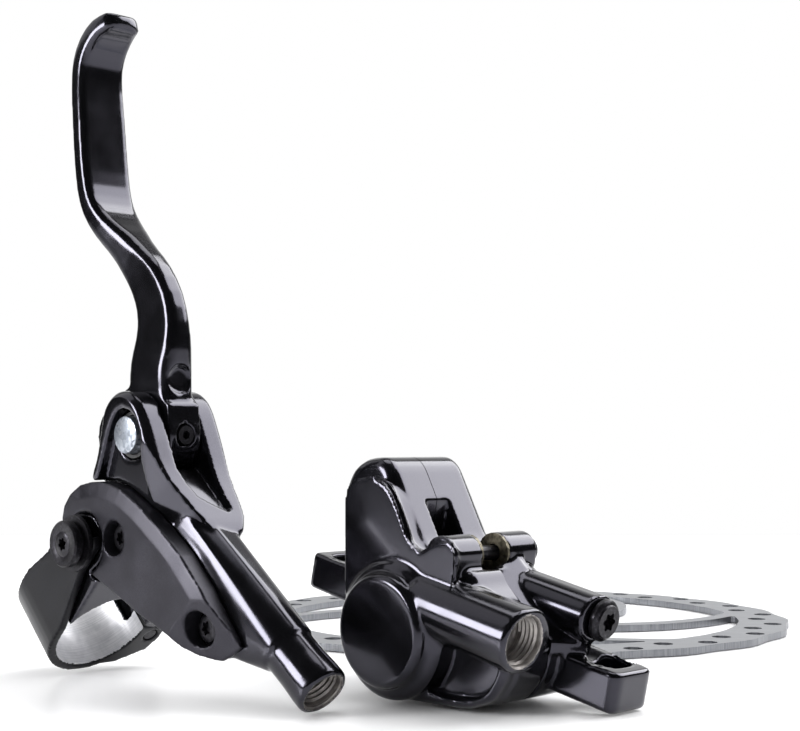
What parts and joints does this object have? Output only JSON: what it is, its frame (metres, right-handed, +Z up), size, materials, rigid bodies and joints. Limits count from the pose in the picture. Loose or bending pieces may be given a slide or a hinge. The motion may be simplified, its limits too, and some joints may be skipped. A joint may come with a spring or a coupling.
{
  "type": "hydraulic disc brake",
  "caption": "Bicycle brake with lever and master cylinder on a hinged bar clamp, a post-mount caliper with pads, and a ventilated disc rotor laid beside it.",
  "frame": {"origin": "on the floor, under the middle of the bounding box", "axes": "+Z up; the picture looks along +Y, with +X to its right"},
  "size_m": [0.1978, 0.2412, 0.1484],
  "materials": {
    "black_lacquer": "gloss black lacquer over forged aluminium",
    "graphite_paint": "satin graphite coating on aluminium",
    "black_anodised": "satin black anodised aluminium",
    "black_oxide": "black oxide on steel screws",
    "zinc": "mottled zinc plate",
    "bright_steel": "bright drawn steel",
    "rubber": "black sealing rubber",
    "phenolic": "dark phenolic moulding",
    "bush_polymer": "low friction polymer",
    "bare_aluminium": "turned bare aluminium",
    "pad_plating": "yellow passivated steel",
    "friction": "sintered friction compound",
    "rotor_steel": "ground stainless steel"
  },
  "bodies": {
    "frame": {"master_cylinder_body": "black_lacquer", "reservoir_cover": "graphite_paint", "cover_screw_rear": "black_oxide", "cover_screw_front": "black_oxide", "reservoir_bladder": "rubber", "pivot_bush_near": "bush_polymer", "pivot_bush_far": "bush_polymer", "piston_circlip": "bright_steel", "return_spring": "bright_steel", "clamp_hinge_pin": "bright_steel", "caliper_outer_half": "black_lacquer", "caliper_inner_half": "black_lacquer", "crossover_seal": "rubber", "body_bolt_rear": "black_oxide", "body_bolt_front": "black_oxide", "piston_seal_outer": "rubber", "piston_seal_inner": "rubber", "pad_spring": "pad_plating", "pad_pin": "black_oxide", "bleed_screw": "black_oxide", "rotor": "rotor_steel"},
    "blade": {"lever_blade": "black_lacquer", "pivot_pin": "zinc", "pivot_grub_screw": "black_oxide"},
    "master_piston": {"master_piston": "bare_aluminium", "primary_cup": "rubber", "secondary_seal": "rubber", "push_rod": "bright_steel", "push_rod_barrel": "zinc"},
    "clamp_bolt": {"clamp_bolt": "black_oxide", "clamp_washer": "black_oxide"},
    "clamp_band": {"clamp_band": "black_anodised"},
    "pad_outer": {"piston_outer": "phenolic", "backing_plate_outer": "pad_plating", "friction_pad_outer": "friction"},
    "pad_inner": {"piston_inner": "phenolic", "backing_plate_inner": "pad_plating", "friction_pad_inner": "friction"}
  },
  "joints": [
    {"name": "lever_pivot", "type": "hinge", "parent": "frame", "child": "blade", "pos_m": [-0.06327, -0.07633, 0.05389], "axis": [-0.6896, -0.7241, -0.014], "range_deg": [0, 20], "stiffness_Nm_per_rad": 0.8, "springref_deg": -28.65},
    {"name": "master_piston_slide", "type": "slide", "parent": "frame", "child": "master_piston", "axis": [0.5879, -0.5483, -0.5948], "range_m": [0, 0.0038], "deforming": ["return_spring"]},
    {"name": "clamp_bolt_out", "type": "slide", "parent": "frame", "child": "clamp_bolt", "axis": [-0.6896, -0.7241, -0.014], "range_m": [0, 0.014]},
    {"name": "clamp_hinge", "type": "hinge", "parent": "frame", "child": "clamp_band", "pos_m": [-0.07468, -0.04397, 0.01341], "axis": [0.5189, -0.4805, -0.707], "range_deg": [0, 20.5]},
    {"name": "pad_outer_slide", "type": "slide", "parent": "frame", "child": "pad_outer", "axis": [0.6921, 0.7218, 0], "range_m": [0, 0.0012], "stiffness_N_per_m": 300, "springref_m": -0.003, "deforming": ["pad_spring"]},
    {"name": "pad_inner_slide", "type": "slide", "parent": "frame", "child": "pad_inner", "axis": [-0.6921, -0.7218, 0], "range_m": [0, 0.0012], "stiffness_N_per_m": 300, "springref_m": -0.003}
  ],
  "couplings": [
    {"joint": "master_piston_slide", "follows": "lever_pivot", "m_per_rad": 0.010428},
    {"joint": "clamp_hinge", "follows": "clamp_bolt_out", "rad_per_m": 24.933},
    {"joint": "pad_inner_slide", "follows": "pad_outer_slide", "ratio": 1}
  ]
}
